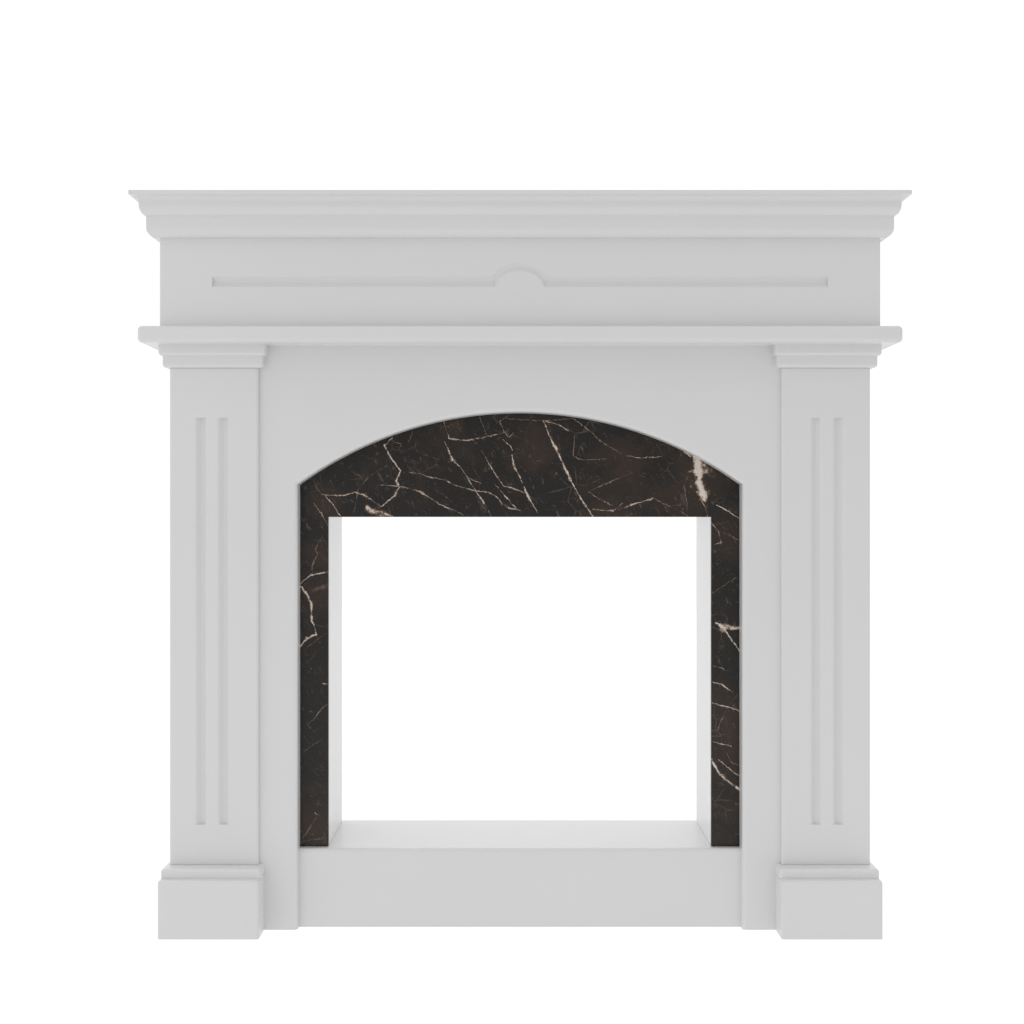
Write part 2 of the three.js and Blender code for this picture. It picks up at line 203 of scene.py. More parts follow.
marbleLook = {
    "dark": (0.0152, 0.0138, 0.0130, 1),
    "brown": (0.036, 0.0245, 0.0180, 1),
    "tan": (0.20, 0.145, 0.11, 1),
    "roughness": 0.28,
    "specular": 0.3,
    "clouds": {"scale": 16.0, "detail": 6.0, "roughness": 0.68, "distortion": 0.6},
    "cloudRange": (0.46, 0.86),
    "patchPull": 0.34,  # how much browner the ground is in the middle of a patch
    "specks": {"scale": 420.0, "detail": 3.0, "roughness": 0.7},
    "speckRange": (0.55, 0.75, 0.0, 0.27),
    "cracks": {"scale": 34.0, "width": 0.022, "keep": (0.52, 0.66), "share": 0.36},
    "crackCore": 0.3,  # share of a crack's width at full strength
    "crackPatch": 0.55,  # scale of the patches that are kept, of the crack's own
    "falling": {
        "turn": 62, "stretch": 7.0, "scale": 60.0, "width": 0.011, "keep": (0.50, 0.62), "share": 0.40,
    },
    "crossing": {
        "turn": 14, "stretch": 8.0, "scale": 70.0, "width": 0.010, "keep": (0.54, 0.66), "share": 0.32,
    },
    "threadNoise": {"detail": 3.0, "roughness": 0.55},
    "threadCore": 0.25,
    "threadPatch": 1.3,
    "swell": {"scale": 55.0, "detail": 3.0, "roughness": 0.6},  # widens and narrows the main veins
    "swellRange": (0.3, 0.65, 2.0, 0.62),
    "breaks": {"scale": 95.0, "detail": 4.0, "roughness": 0.75},  # weakens them here and there
    "breakRange": (0.34, 0.56, 0.42, 1.14),
    "wander": 4.0 * mm,  # how far a vein strays from its line
    "wanderNoise": {"scale": 26.0, "detail": 4.0, "roughness": 0.6},
    "fray": 5.5 * mm,  # and how ragged it is
    "frayNoise": {"scale": 210.0, "detail": 3.0, "roughness": 0.7},
    "farAway": 99.0,  # more half widths than any mark reaches
    "fade": 0.38,  # share of a vein's strength lost from its middle to its edge
    "taper": 0.35,  # width left at the two ends of a vein
    "width": 0.62,  # of the width picked
    "patches": [  # browner areas: a spot on the photograph and how far each reaches in millimetres
        (698, 478, 90), (612, 497, 60), (625, 458, 70), (530, 450, 60), (454, 426, 26), (323, 505, 34),
        (319, 556, 34), (316, 589, 52), (315, 823, 70), (726, 738, 95), (726, 816, 60), (725, 537, 40),
    ],
    "shades": [  # colour and cover for a rising strength of mark
        (0.02, (0.045, 0.028, 0.019), 0.0),
        (0.22, (0.085, 0.052, 0.035), 0.45),
        (0.40, (0.23, 0.172, 0.132), 0.85),
        (0.58, (0.50, 0.41, 0.35), 1.0),
        (0.80, (0.74, 0.64, 0.565), 1.0),
    ],
}

# The main veins, each as points picked on the photograph, with its width there in millimetres and its
# strength. The widest and faintest of them are mottled areas.
marbleVeins = [
    {"width": 3.0, "strength": 0.75,
     "points": [(392, 437), (384, 445), (391, 459), (400, 470), (396, 480), (399, 486), (395, 494),
                (381, 506)]},
    {"width": 2.4, "strength": 0.6, "points": [(381, 506), (366, 496), (354, 492), (342, 495), (321, 494)]},
    {"width": 1.5, "strength": 0.45, "points": [(388, 464), (367, 477), (357, 490), (353, 514)]},
    {"width": 2.4, "strength": 0.6, "points": [(378, 484), (402, 486), (420, 491), (440, 504), (463, 515)]},
    {"width": 11.0, "strength": 0.75, "points": [(366, 506), (371, 510), (378, 511), (392, 516)]},
    {"width": 2.2, "strength": 0.7, "points": [(325, 495), (332, 503), (340, 516)]},
    {"width": 1.8, "strength": 0.55, "points": [(313, 502), (320, 512), (328, 525)]},
    {"width": 1.6, "strength": 0.35, "points": [(312, 478), (318, 490), (321, 494)]},
    {"width": 2.4, "strength": 0.65, "points": [(443, 421), (449, 438), (466, 440), (488, 436), (505, 432)]},
    {"width": 3.4, "strength": 0.75, "points": [(444, 441), (449, 452), (452, 460), (461, 468)]},
    {"width": 9.0, "strength": 0.8, "points": [(450, 455), (452, 460), (454, 462)]},
    {"width": 4.0, "strength": 0.6, "points": [(448, 462), (451, 459), (456, 462)]},
    {"width": 2.2, "strength": 0.62, "points": [(461, 468), (470, 482), (485, 505), (490, 515)]},
    {"width": 2.2, "strength": 0.55,
     "points": [(408, 472), (420, 473), (430, 477), (444, 479), (456, 485), (474, 490), (486, 491),
                (495, 495)]},
    {"width": 3.0, "strength": 0.6, "points": [(495, 495), (502, 503), (508, 507), (520, 510)]},
    {"width": 2.0, "strength": 0.65, "points": [(468, 477), (474, 480), (481, 483)]},
    {"width": 1.6, "strength": 0.45, "points": [(392, 437), (393, 441), (401, 443), (399, 447), (393, 452)]},
    {"width": 1.4, "strength": 0.4, "points": [(412, 429), (412, 434), (408, 442)]},
    {"width": 1.4, "strength": 0.3, "points": [(357, 452), (364, 456), (376, 460)]},
    {"width": 1.4, "strength": 0.3, "points": [(412, 448), (423, 454), (439, 459)]},
    {"width": 1.4, "strength": 0.35, "points": [(428, 485), (442, 493), (457, 507)]},
    {"width": 1.8, "strength": 0.6, "points": [(479, 416), (486, 435)]},
    {"width": 2.2, "strength": 0.65, "points": [(481, 450), (492, 469), (503, 485), (524, 492)]},
    {"width": 2.4, "strength": 0.75, "points": [(495, 484), (505, 496), (516, 508)]},
    {"width": 2.8, "strength": 0.7, "points": [(502, 439), (510, 446), (512, 450)]},
    {"width": 3.2, "strength": 0.78, "points": [(511, 454), (514, 466), (518, 474), (522, 482)]},
    {"width": 2.8, "strength": 0.75, "points": [(523, 486), (527, 495), (532, 503), (537, 513)]},
    {"width": 1.8, "strength": 0.6, "points": [(507, 415), (499, 421), (503, 430), (508, 437), (513, 432)]},
    {"width": 1.8, "strength": 0.5, "points": [(505, 418), (530, 420), (548, 420), (560, 419), (572, 418)]},
    {"width": 3.4, "strength": 0.8,
     "points": [(543, 421), (550, 438), (560, 457), (570, 480), (578, 494), (592, 516)]},
    {"width": 4.0, "strength": 0.6, "points": [(545, 421), (558, 424), (568, 430)]},
    {"width": 1.8, "strength": 0.55, "points": [(573, 418), (590, 431), (604, 444), (621, 453)]},
    {"width": 1.8, "strength": 0.5, "points": [(574, 434), (573, 456), (582, 460), (607, 458)]},
    {"width": 2.2, "strength": 0.62, "points": [(626, 455), (640, 458), (662, 456)]},
    {"width": 1.5, "strength": 0.4, "points": [(576, 432), (588, 430)]},
    {"width": 1.8, "strength": 0.45, "points": [(632, 472), (612, 480), (594, 488), (588, 491)]},
    {"width": 2.6, "strength": 0.7, "points": [(588, 491), (598, 498), (612, 505)]},
    {"width": 2.4, "strength": 0.65, "points": [(618, 509), (635, 503), (654, 498), (663, 503)]},
    {"width": 1.8, "strength": 0.5, "points": [(663, 503), (676, 508), (690, 517)]},
    {"width": 2.6, "strength": 0.55, "points": [(592, 509), (613, 510), (622, 503)]},
    {"width": 5.0, "strength": 0.8, "points": [(684, 452), (690, 456)]},
    {"width": 19.0, "strength": 1.0,
     "points": [(694, 456), (697, 463), (699, 472), (698, 481), (702, 492), (705, 500)]},
    {"width": 2.0, "strength": 0.5, "points": [(684, 485), (686, 500), (687, 510)]},
    {"width": 2.4, "strength": 0.7, "points": [(701, 500), (705, 508), (707, 516)]},
    {"width": 3.0, "strength": 0.85, "points": [(716, 504), (722, 507), (739, 518)]},
    {"width": 2.2, "strength": 0.6, "points": [(709, 520), (718, 531), (721, 542), (713, 544)]},
    {"width": 1.8, "strength": 0.5, "points": [(718, 531), (729, 534), (739, 540)]},
    {"width": 1.6, "strength": 0.4, "points": [(711, 593), (724, 585), (737, 576)]},
    {"width": 10.5, "strength": 0.9, "points": [(715, 622), (722, 626), (731, 628), (741, 628)]},
    {"width": 4.0, "strength": 0.7, "points": [(322, 683), (326, 684)]},
    {"width": 34.0, "strength": 0.33, "points": [(314, 590), (326, 584)]},
    {"width": 30.0, "strength": 0.19, "points": [(722, 705), (730, 745)]},
    {"width": 12.0, "strength": 0.25, "points": [(450, 424), (460, 428)]},
    {"width": 14.0, "strength": 0.24, "points": [(322, 500), (326, 512)]},
    {"width": 16.0, "strength": 0.22, "points": [(318, 552), (326, 560)]},
    {"width": 10.0, "strength": 0.24, "points": [(510, 434), (520, 438)]},
    {"width": 4.2, "strength": 0.85, "points": [(724, 628), (731, 639), (740, 652)]},
    {"width": 1.8, "strength": 0.6, "points": [(712, 665), (722, 668), (728, 671)]},
    {"width": 2.6, "strength": 0.75, "points": [(712, 682), (721, 684), (733, 692)]},
    {"width": 2.2, "strength": 0.75, "points": [(711, 702), (720, 705), (730, 707), (741, 712)]},
    {"width": 1.8, "strength": 0.4, "points": [(737, 694), (727, 706), (720, 722), (714, 740)]},
    {"width": 2.6, "strength": 0.75, "points": [(712, 741), (722, 744), (731, 746)]},
    {"width": 5.0, "strength": 0.95, "points": [(711, 759), (718, 772), (729, 782), (741, 791)]},
    {"width": 2.2, "strength": 0.6, "points": [(718, 759), (731, 770), (741, 777)]},
    {"width": 1.6, "strength": 0.45, "points": [(726, 752), (731, 762), (740, 765)]},
    {"width": 2.6, "strength": 0.75, "points": [(299, 584), (310, 575), (320, 573), (329, 571)]},
    {"width": 3.6, "strength": 0.8, "points": [(300, 586), (307, 595), (311, 603), (311, 620), (314, 626)]},
    {"width": 4.2, "strength": 0.8, "points": [(314, 626), (316, 634), (306, 638), (299, 647)]},
    {"width": 1.6, "strength": 0.45, "points": [(320, 538), (315, 549), (317, 554), (312, 565), (312, 574)]},
    {"width": 1.4, "strength": 0.35, "points": [(328, 631), (313, 642), (302, 651)]},
    {"width": 2.0, "strength": 0.4, "points": [(328, 704), (322, 707), (315, 717), (304, 726)]},
    {"width": 1.8, "strength": 0.4, "points": [(327, 734), (313, 744), (300, 754)]},
    {"width": 3.4, "strength": 0.6, "points": [(314, 812), (319, 815)]},
    {"width": 2.6, "strength": 0.4, "points": [(316, 817), (309, 827), (306, 833), (302, 839)]},
    {"width": 2.4, "strength": 0.4, "points": [(300, 842), (312, 839), (325, 838), (322, 845)]},
]


def onMarble(across, down):
    # Where the camera's ray through a pixel of the photograph meets the marble's face
    face = corners("marble_surround")[0].y
    reach = (face - cameraPlace.y) / photoFocal
    x = cameraPlace.x + (across - photoMiddle) * reach
    return Vector((x, 0, cameraPlace.z + (photoMiddle - down) * reach))


def veinStretch():
    # Node group: how near a point is to one tapered stretch of a vein, as a share of its half width there
    group = bpy.data.node_groups.new("vein stretch", "ShaderNodeTree")
    for name in ("Point", "Start", "Run", "Run Unit"):
        group.interface.new_socket(name, in_out="INPUT", socket_type="NodeSocketVector")
    for name in ("Half Width", "Widening"):
        group.interface.new_socket(name, in_out="INPUT", socket_type="NodeSocketFloat")
    group.interface.new_socket("Nearness", in_out="OUTPUT", socket_type="NodeSocketFloat")
    given = group.nodes.new("NodeGroupInput").outputs
    made = group.nodes.new("NodeGroupOutput").inputs
    away = vectors(group, "SUBTRACT", given["Point"], given["Start"])
    along = sums(group, "MAXIMUM", vectors(group, "DOT_PRODUCT", away, given["Run Unit"]), 0.0)
    along = sums(group, "MINIMUM", along, 1.0)
    foot = vectors(group, "SCALE", given["Run"], scale=along)
    gap = vectors(group, "LENGTH", vectors(group, "SUBTRACT", away, foot))
    half = sums(group, "MULTIPLY_ADD", along, given["Widening"], given["Half Width"])
    group.links.new(sums(group, "DIVIDE", gap, half), made["Nearness"])
    return group


def drawVeins(tree, point, swell):
    # The strongest mark that any of the main veins leaves at this point
    group = veinStretch()
    mark = 0.0
    for vein in marbleVeins:
        spots = [onMarble(*spot) for spot in vein["points"]]
        half = vein["width"] * mm * marbleLook["width"] / 2
        halves = [half * marbleLook["taper"]] + [half] * (len(spots) - 2) + [half * marbleLook["taper"]]
        near = marbleLook["farAway"]
        for start, end, first, last in zip(spots, spots[1:], halves, halves[1:]):
            node = tree.nodes.new("ShaderNodeGroup")
            node.node_tree = group
            run = end - start
            plug(tree, point, node.inputs["Point"])
            node.inputs["Start"].default_value = start
            node.inputs["Run"].default_value = run
            node.inputs["Run Unit"].default_value = run / run.length_squared
            node.inputs["Half Width"].default_value = first
            node.inputs["Widening"].default_value = last - first
            near = sums(tree, "MINIMUM", node.outputs["Nearness"], near)
        near = sums(tree, "MULTIPLY", near, swell)
        here = sums(tree, "MULTIPLY_ADD", near, -vein["strength"] * marbleLook["fade"], vein["strength"])
        mark = sums(tree, "MAXIMUM", here, mark)
    return mark


def keptInPatches(tree, point, line, look, patchScale):
    patch = noise(tree, point, look["scale"] * patchScale).outputs["Fac"]
    kept = sums(tree, "MULTIPLY", line, remap(tree, patch, *look["keep"]))
    return sums(tree, "MULTIPLY", kept, look["share"])


def threads(tree, point, look):
    # Long wandering hairlines along one direction, where a stretched noise crosses its middle value
    lie = tree.nodes.new("ShaderNodeMapping")
    lie.vector_type = "TEXTURE"
    lie.inputs["Rotation"].default_value = (0, math.radians(look["turn"]), 0)
    lie.inputs["Scale"].default_value = (look["stretch"], 1, 1)
    plug(tree, point, lie.inputs["Vector"])
    wave = noise(tree, lie.outputs["Vector"], look["scale"], **marbleLook["threadNoise"]).outputs["Fac"]
    gap = sums(tree, "ABSOLUTE", sums(tree, "SUBTRACT", wave, 0.5))
    line = remap(tree, gap, look["width"] * marbleLook["threadCore"], look["width"], 1.0, 0.0)
    return keptInPatches(tree, point, line, look, marbleLook["threadPatch"])


def hairVeins(tree, point, look):
    # A net of hairline cracks, kept only in patches
    cells = tree.nodes.new("ShaderNodeTexVoronoi")
    cells.feature = "DISTANCE_TO_EDGE"
    plug(tree, point, cells.inputs["Vector"])
    cells.inputs["Scale"].default_value = look["scale"]
    core = look["width"] * marbleLook["crackCore"]
    line = remap(tree, cells.outputs["Distance"], core, look["width"], 1.0, 0.0)
    return keptInPatches(tree, point, line, look, marbleLook["crackPatch"])


def brownPatches(tree, point):
    # How brown the ground is at this point, from the browner areas picked on the photograph
    share = 0.0
    for across, down, reach in marbleLook["patches"]:
        gap = vectors(tree, "LENGTH", vectors(tree, "SUBTRACT", point, onMarble(across, down)))
        share = sums(tree, "MAXIMUM", sums(tree, "MULTIPLY_ADD", gap, -1 / (reach * mm), 1.0), share)
    return share


def makeMarble():
    material, tree, shader, place = newMaterial("brown marble")
    flat = tree.nodes.new("ShaderNodeMapping")
    flat.inputs["Scale"].default_value = (1, 0, 1)
    tree.links.new(place, flat.inputs["Vector"])
    flatPlace = flat.outputs["Vector"]
    middle = (0.5, 0.5, 0.5)
    stray = noise(tree, flatPlace, **marbleLook["wanderNoise"]).outputs["Color"]
    shift = vectors(tree, "SCALE", vectors(tree, "SUBTRACT", stray, middle), scale=marbleLook["wander"])
    bent = vectors(tree, "MULTIPLY", vectors(tree, "ADD", flatPlace, shift), (1, 0, 1))
    fray = noise(tree, flatPlace, **marbleLook["frayNoise"]).outputs["Color"]
    ragged = vectors(tree, "SCALE", vectors(tree, "SUBTRACT", fray, middle), scale=marbleLook["fray"])
    bent = vectors(tree, "MULTIPLY", vectors(tree, "ADD", bent, ragged), (1, 0, 1))

    clouds = noise(tree, place, **marbleLook["clouds"]).outputs["Fac"]
    cloudy = sums(tree, "MULTIPLY_ADD", brownPatches(tree, flatPlace), marbleLook["patchPull"], clouds)
    share = remap(tree, cloudy, *marbleLook["cloudRange"])
    ground = blendColours(tree, share, marbleLook["dark"], marbleLook["brown"])
    specks = noise(tree, place, **marbleLook["specks"]).outputs["Fac"]
    ground = blendColours(tree, remap(tree, specks, *marbleLook["speckRange"]), ground, marbleLook["tan"])

    cracks = hairVeins(tree, bent, marbleLook["cracks"])
    falling = threads(tree, bent, marbleLook["falling"])
    crossing = threads(tree, bent, marbleLook["crossing"])
    net = sums(tree, "MAXIMUM", sums(tree, "MAXIMUM", cracks, falling), crossing)
    colour = blendColours(tree, net, ground, marbleLook["tan"])

    swell = noise(tree, place, **marbleLook["swell"]).outputs["Fac"]
    mark = drawVeins(tree, bent, remap(tree, swell, *marbleLook["swellRange"]))
    breaks = noise(tree, place, **marbleLook["breaks"]).outputs["Fac"]
    mark = sums(tree, "MULTIPLY", mark, remap(tree, breaks, *marbleLook["breakRange"]))
    shades = tree.nodes.new("ShaderNodeValToRGB")
    plug(tree, mark, shades.inputs["Fac"])
    stops = shades.color_ramp.elements
    for position, shade, cover in marbleLook["shades"]:
        stop = stops[0] if position == marbleLook["shades"][0][0] else stops.new(position)
        stop.position = position
        stop.color = (*shade, cover)
    stops.remove(stops[-1])
    colour = blendColours(tree, shades.outputs["Alpha"], colour, shades.outputs["Color"])
    tree.links.new(colour, shader.inputs["Base Color"])
    shader.inputs["Roughness"].default_value = marbleLook["roughness"]
    shader.inputs["Specular IOR Level"].default_value = marbleLook["specular"]
    return material


paint = makePaint("satin paint")
# The lining boards get a paler copy of the paint: painted light, standing in for the brighter light inside
# the opening
liningPaintWithPaintedLight = makePaint("lining paint with painted light", paintLook["liningPaintedLightLift"])
marble = makeMarble()


# Mesh helpers
def arc(centreX, centreY, radius, startAngle, endAngle, steps):
    angles = [math.radians(startAngle + (endAngle - startAngle) * step / steps) for step in range(steps + 1)]
    return [(centreX + radius * math.cos(angle), centreY + radius * math.sin(angle)) for angle in angles]


def sharpenEdges(mesh, limit=35):
    # Everything is smooth except the edges that turn by more than the limit
    build = bmesh.new()
    build.from_mesh(mesh)
    bmesh.ops.remove_doubles(build, verts=build.verts, dist=1e-6)
    bmesh.ops.recalc_face_normals(build, faces=build.faces)
    for face in build.faces:
        face.smooth = True
    for edge in build.edges:
        edge.smooth = edge.calc_face_angle(0) < math.radians(limit)
    build.to_mesh(mesh)
    build.free()


def skinRings(name, rings):
    # A closed mesh through rings of points, with flat ends
    build = bmesh.new()
    rows = [[build.verts.new(point) for point in ring] for ring in rings]
    for lower, upper in zip(rows, rows[1:]):
        for i in range(len(lower)):
            j = (i + 1) % len(lower)
            build.faces.new((lower[i], lower[j], upper[j], upper[i]))
    build.faces.new(rows[0][::-1])
    build.faces.new(rows[-1])
    mesh = bpy.data.meshes.new(name)
    build.to_mesh(mesh)
    build.free()
    return mesh


def addPiece(name, mesh, material, *nodes, slot="paint"):
    # Puts a finished mesh in the scene in place of the frame's nodes
    sharpenEdges(mesh)
    mesh.materials.clear()
    mesh.materials.append(material)
    piece = bpy.data.objects.new(name, mesh)
    bpy.context.scene.collection.objects.link(piece)
    weigh = piece.modifiers.new("even faces", "WEIGHTED_NORMAL")
    weigh.keep_sharp = True
    weigh.weight = 100
    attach(piece, "root")
    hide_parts(*nodes)
    return piece


weldGap = 0.01 * mm  # points nearer than this are one
grooveLook = {
    "lift": 0.75,  # how far a groove's section stands off the face, as a share of its rounding
    "roundingSteps": 8,
    "humpSteps": 64,
}


# Geometry Nodes helpers
class NodeMaker:
    # A Geometry Nodes tree with named inputs, built a node at a time
    def __init__(self, name, sizes):
        self.tree = bpy.data.node_groups.new(name, "GeometryNodeTree")
        self.tree.interface.new_socket("Geometry", in_out="INPUT", socket_type="NodeSocketGeometry")
        self.identifiers = {}
        for label, value in sizes.items():
            kind = "NodeSocketInt" if isinstance(value, int) else "NodeSocketFloat"
            socket = self.tree.interface.new_socket(label, in_out="INPUT", socket_type=kind)
            self.identifiers[label] = socket.identifier
        self.tree.interface.new_socket("Geometry", in_out="OUTPUT", socket_type="NodeSocketGeometry")
        self.given = self.tree.nodes.new("NodeGroupInput").outputs
        self.sizes = sizes

    def add(self, kind, settings=None, **inputs):
        node = self.tree.nodes.new(kind)
        for key, value in (settings or {}).items():
            setattr(node, key, value)
        for label, value in inputs.items():
            plug(self.tree, value, node.inputs[label.replace("_", " ")])
        return node.outputs[0]

    def maths(self, operation, first, second=0.0):
        node = self.tree.nodes.new("ShaderNodeMath")
        node.operation = operation
        plug(self.tree, first, node.inputs[0])
        plug(self.tree, second, node.inputs[1])
        return node.outputs[0]

    def vector(self, x=0.0, y=0.0, z=0.0):
        node = self.tree.nodes.new("ShaderNodeCombineXYZ")
        for socket, value in zip(node.inputs, (x, y, z)):
            plug(self.tree, value, socket)
        return node.outputs[0]

    def join(self, *parts):
        node = self.tree.nodes.new("GeometryNodeJoinGeometry")
        for part in parts:
            self.tree.links.new(part, node.inputs[0])
        return node.outputs[0]

    def cut(self, body, *cutters):
        node = self.tree.nodes.new("GeometryNodeMeshBoolean")
        node.operation = "DIFFERENCE"
        node.solver = "EXACT"
        self.tree.links.new(body, node.inputs["Mesh 1"])
        for cutter in cutters:
            self.tree.links.new(cutter, node.inputs["Mesh 2"])
        return node.outputs["Mesh"]

    def grooveSection(self, halfWidth, rounding):
        # Section of a groove with slanting walls and a rounded bottom, and where its middle lies off the face
        lift = self.maths("MULTIPLY", rounding, grooveLook["lift"])
        reach = self.maths("ADD", halfWidth, lift)
        shape = self.add("GeometryNodeCurvePrimitiveQuadrilateral", {"mode": "KITE"}, Bottom_Height=reach,
                         Top_Height=reach, Width=self.maths("MULTIPLY", reach, 2.0))
        section = self.add("GeometryNodeFilletCurve", {"mode": "POLY"}, Curve=shape, Radius=rounding,
                           Count=grooveLook["roundingSteps"])
        return section, self.maths("MULTIPLY", lift, -1.0)

    def finish(self, geometry, material):
        solid = self.add("GeometryNodeRealizeInstances", Geometry=geometry)
        covered = self.add("GeometryNodeSetMaterial", Geometry=solid, Material=material)
        self.tree.links.new(covered, self.tree.nodes.new("NodeGroupOutput").inputs["Geometry"])

    def run(self, mesh):
        # Runs the tree on a mesh and gives back the plain result
        holder = bpy.data.objects.new(mesh.name, mesh)
        bpy.context.scene.collection.objects.link(holder)
        modifier = holder.modifiers.new(self.tree.name, "NODES")
        modifier.node_group = self.tree
        for label, value in self.sizes.items():
            modifier[self.identifiers[label]] = value
        depsgraph = bpy.context.evaluated_depsgraph_get()
        evaluated = holder.evaluated_get(depsgraph)
        result = bpy.data.meshes.new_from_object(evaluated, depsgraph=depsgraph)
        holder.modifiers.remove(modifier)
        bpy.data.objects.remove(holder)
        return result


print("scene: bands round the legs")

softCorner = 0.3 * mm  # what is left of a corner where a rounded edge takes the rest
seam = 0.29 * mm  # paint that closes the joint between two pieces
edgeSteps = 8
legBands = {
    "plinth_block": {"edge": 4.0 * mm, "corner": 4.0 * mm, "rounded": "top"},
    "base_moulding": {"edge": 5.0 * mm, "corner": 4.0 * mm, "rounded": "top"},
    "capital_lower": {"edge": 5.0 * mm, "corner": 4.0 * mm, "rounded": "foot"},
    "capital_upper": {"edge": 5.5 * mm, "corner": 4.0 * mm, "rounded": "foot"},
}


def edgeProfile(height, radius, rounded):
    # Heights and insets up a wall whose top, foot or both edges are a quarter round
    quarter = arc(0, 0, radius, 0, 90, edgeSteps)
    foot = [(radius - up, radius - out) for out, up in reversed(quarter)]
    top = [(height - radius + up, radius - out) for out, up in quarter]
    plainFoot = [(0.0, 0.0)]
    plainTop = [(height, 0.0)]
    return (plainFoot if rounded == "top" else foot) + (plainTop if rounded == "foot" else top)


def frontCorners(left, right, front, corner, inset):
    reach = max(corner, inset + softCorner)
    return (arc(left + reach, front + reach, reach - inset, 180, 270, edgeSteps)
            + arc(right - reach, front + reach, reach - inset, 270, 360, edgeSteps))


def legBand(kind, side):
    # The inner side of a band stops at the panel, and its outer side runs back to the wall
    node = f"{kind}_{side}"
    look = legBands[kind]
    low, high = corners(node)
    turn = -1 if side == "left" else 1
    inner, outer = sorted((abs(low.x), abs(high.x)))
    panelSide = panelFront - (panelLow.y - corners(f"pilaster_{side}")[1].y) + seam
    lift = seam if look["rounded"] == "foot" else 0.0
    drop = seam if kind == "base_moulding" else 0.0
    boardFace = abs(corners(f"side_board_{side}")[0 if turn < 0 else 1].x)
    rings = []
    for up, inset in edgeProfile(high.z - low.z + lift + drop, look["edge"], look["rounded"]):
        outline = [(inner + inset, panelSide)]
        outline += frontCorners(inner, outer, low.y, look["corner"], inset)
        boardSide = boardFace + softCorner
        outline += [(outer - inset, high.y), (boardSide, high.y), (boardSide, panelSide)]
        rings.append([(turn * x, y, low.z - drop + up) for x, y in outline])
    return addPiece(f"{kind}_{side}_painted", skinRings(node, rings), paint, node)


for side in ("left", "right"):
    for kind in legBands:
        legBand(kind, side)

print("scene: shelf")

shelfLook = {"edge": 6.5 * mm, "corner": 7.0 * mm}


def makeShelf():
    low, high = corners("mantel_shelf")
    rings = []
    for up, inset in edgeProfile(high.z - low.z, shelfLook["edge"], "both"):
        outline = [(low.x + inset, high.y)]
        outline += frontCorners(low.x, high.x, low.y, shelfLook["corner"], inset)
        outline += [(high.x - inset, high.y)]
        rings.append([(x, y, low.z + up) for x, y in outline])
    return addPiece("mantel_shelf_painted", skinRings("mantel_shelf", rings), paint, "mantel_shelf")


makeShelf()

print("scene: fluted pilasters")

pilasterLook = {
    "corner": 4.0 * mm,
    "rim": 0.9 * mm,  # softened edge of a flute
    "Flutes": 2,
    "Flute half width": 8.4 * mm,
    "Flute rounding": 4.0 * mm,
    "Flute spacing": 33.4 * mm,
    "Flute foot": 60.1 * mm,  # plain shaft below the flutes
    "Flute head": 74.5 * mm,  # plain shaft above the flutes
    "Flute outset": 2.2 * mm,  # middle of the flutes outwards of the middle of the shaft
}


def fluteTree(middle, height):
    labels = ("Flutes", "Flute half width", "Flute rounding", "Flute spacing", "Flute foot", "Flute head")
    sizes = {label: pilasterLook[label] for label in labels}
    sizes["Shaft height"] = height
    sizes["Flutes middle"] = middle
    make = NodeMaker("flutes", sizes)
    given = make.given
    length = make.maths("SUBTRACT", make.maths("SUBTRACT", given["Shaft height"], given["Flute foot"]),
                        given["Flute head"])
    spread = make.maths("MULTIPLY", make.maths("SUBTRACT", given["Flutes"], 1.0), given["Flute spacing"])
    first = make.maths("SUBTRACT", given["Flutes middle"], make.maths("MULTIPLY", spread, 0.5))
    section, stand = make.grooveSection(given["Flute half width"], given["Flute rounding"])
    line = make.add("GeometryNodeMeshLine", {"mode": "OFFSET"}, Count=given["Flutes"],
                    Start_Location=make.vector(first, stand, given["Flute foot"]),
                    Offset=make.vector(x=given["Flute spacing"]))
    path = make.add("GeometryNodeCurvePrimitiveLine", End=make.vector(z=length))
    cutter = make.add("GeometryNodeCurveToMesh", Curve=path, Profile_Curve=section, Fill_Caps=True)
    cutters = make.add("GeometryNodeInstanceOnPoints", Points=line, Instance=cutter)
    cutters = make.add("GeometryNodeRealizeInstances", Geometry=cutters)
    make.finish(make.cut(given["Geometry"], cutters), paint)
    return make


rimSegments = 3


def softenRims(piece, width, limit=30):
    bevel = piece.modifiers.new("soft rims", "BEVEL")
    bevel.width = width
    bevel.segments = rimSegments
    bevel.limit_method = "ANGLE"
    bevel.angle_limit = math.radians(limit)
    piece.modifiers.move(len(piece.modifiers) - 1, 0)


def makePilaster(side):
    node = f"pilaster_{side}"
    low, high = corners(node)
    width = high.x - low.x
    height = high.z - low.z
    back = high.y - low.y + seam
    outline = [(0, back)] + frontCorners(0, width, 0, pilasterLook["corner"], 0) + [(width, back)]
    shaft = skinRings(node, [[(x, y, z) for x, y in outline] for z in (-seam, height + seam)])
    outset = pilasterLook["Flute outset"] * (-1 if side == "left" else 1)
    fluted = fluteTree(width / 2 + outset, height).run(shaft)
    fluted.transform(Matrix.Translation(low))
    softenRims(addPiece(f"{node}_painted", fluted, paint, node), pilasterLook["rim"])


for side in ("left", "right"):
    makePilaster(side)

print("scene: grooved frieze")

friezeLook = {
    "corner": 4.5 * mm,
    "rim": 2.2 * mm,
    "Groove half width": 8.1 * mm,
    "Groove rounding": 4.0 * mm,
    "Groove height": 67.9 * mm,
    "Groove end margin": 79.0 * mm,
    "Hump half width": 6.4 * mm,
    "Hump reach": 40.6 * mm,  # sideways from the middle to the bottom of the hump's channel
    "Hump rise": 30.9 * mm,  # and upwards, from the lower rim of the straight channels
    "Hump start": math.radians(8),  # where it leaves the straight channels
    "Hump overlap": 3.5 * mm,  # how far the straight channels run in under it
}


